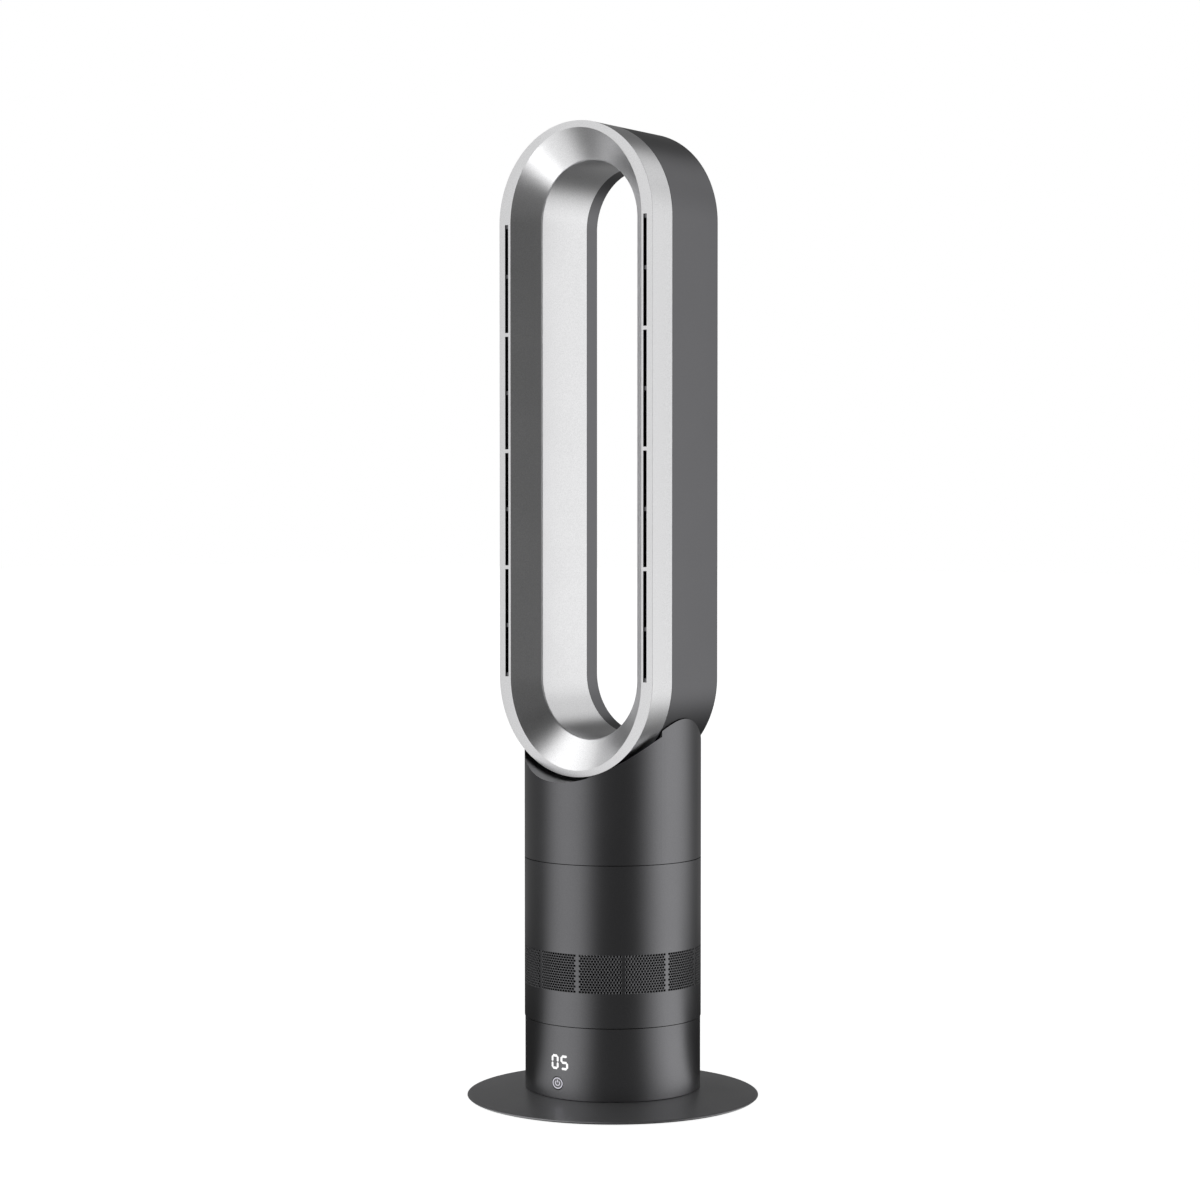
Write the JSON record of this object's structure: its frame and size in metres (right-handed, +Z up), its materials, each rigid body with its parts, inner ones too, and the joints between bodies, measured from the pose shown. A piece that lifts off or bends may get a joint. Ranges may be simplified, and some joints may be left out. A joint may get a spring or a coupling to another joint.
{
  "type": "bladeless tower fan",
  "caption": "Free-standing bladeless tower fan: a tall loop with air slots on a round column that turns on a disc base.",
  "frame": {"origin": "centre of the base on the surface it stands on", "axes": "+Z up, the column's axis; the front with the air slots, display and key faces -Y"},
  "size_m": [0.2448, 0.2448, 0.813],
  "materials": {
    "disc": "satin dark grey",
    "column": "satin metallic dark grey paint",
    "key": "satin metallic dark grey paint with a lit ring",
    "shell": "satin mid grey paint",
    "silver": "satin silver paint",
    "inner": "moulded black",
    "nylon": "natural white nylon",
    "steel": "zinc plated",
    "iron": "sintered grey",
    "rubber": "moulded black",
    "board": "green solder mask",
    "display": "dark potting with light windows",
    "foam": "open-cell charcoal foam",
    "winding": "enamelled copper on steel laminations"
  },
  "bodies": {
    "base": {"base_disc": "disc", "foot_1": "rubber", "foot_2": "rubber", "foot_3": "rubber", "foot_4": "rubber", "foot_5": "rubber", "base_housing": "column", "base_floor": "inner", "floor_screw_1": "steel", "floor_screw_2": "steel", "floor_screw_3": "steel", "floor_screw_4": "steel", "ballast_plate": "iron", "control_board": "board", "panel_board": "board", "display_module": "display", "key_switch": "steel", "power_socket": "inner", "base_deck": "inner", "deck_screw_1": "steel", "deck_screw_2": "steel", "deck_screw_3": "steel", "retaining_ring": "steel", "slide_ring": "nylon", "stepper_motor": "steel"},
    "key": {"power_key": "key"},
    "pinion": {"drive_pinion": "nylon"},
    "head": {"turntable": "nylon", "body_screw_1": "steel", "body_screw_2": "steel", "body_screw_3": "steel", "body_shell": "column", "silencer_foam": "foam", "isolator_ring": "rubber", "intake_ring": "inner", "diffuser": "inner", "motor_can": "inner", "motor_cover": "inner", "stator": "winding", "lower_bearing": "steel", "upper_bearing": "steel", "motor_lead": "rubber", "head_collar": "column", "plenum_plate": "inner", "plate_screw_1": "steel", "plate_screw_2": "steel", "plate_screw_3": "steel", "neck_seal": "rubber", "neck_screw_1": "steel", "neck_screw_2": "steel", "neck_screw_3": "steel", "neck_screw_4": "steel", "rear_shell": "shell", "front_bezel": "silver", "left_air_guide": "inner", "right_air_guide": "inner"},
    "rotor": {"impeller": "inner", "motor_shaft": "steel", "rotor_bell": "steel", "magnet_ring": "iron"}
  },
  "joints": [
    {"name": "oscillation", "type": "hinge", "parent": "base", "child": "head", "pos_m": [0, 0, 0.07], "axis": [0, 0, 1], "range_deg": [-40, 40]},
    {"name": "impeller_spin", "type": "hinge", "parent": "head", "child": "rotor", "pos_m": [0, 0, 0.16], "axis": [0, 0, 1], "continuous": true},
    {"name": "pinion_turn", "type": "hinge", "parent": "base", "child": "pinion", "pos_m": [0, 0.03, 0.065], "axis": [0, 0, 1], "range_deg": [-240, 240]},
    {"name": "power_key_press", "type": "slide", "parent": "base", "child": "key", "axis": [0, 1, 0], "range_m": [0, 0.0005], "stiffness_N_per_m": 2000}
  ],
  "couplings": [
    {"joint": "pinion_turn", "follows": "oscillation", "ratio": 6}
  ]
}
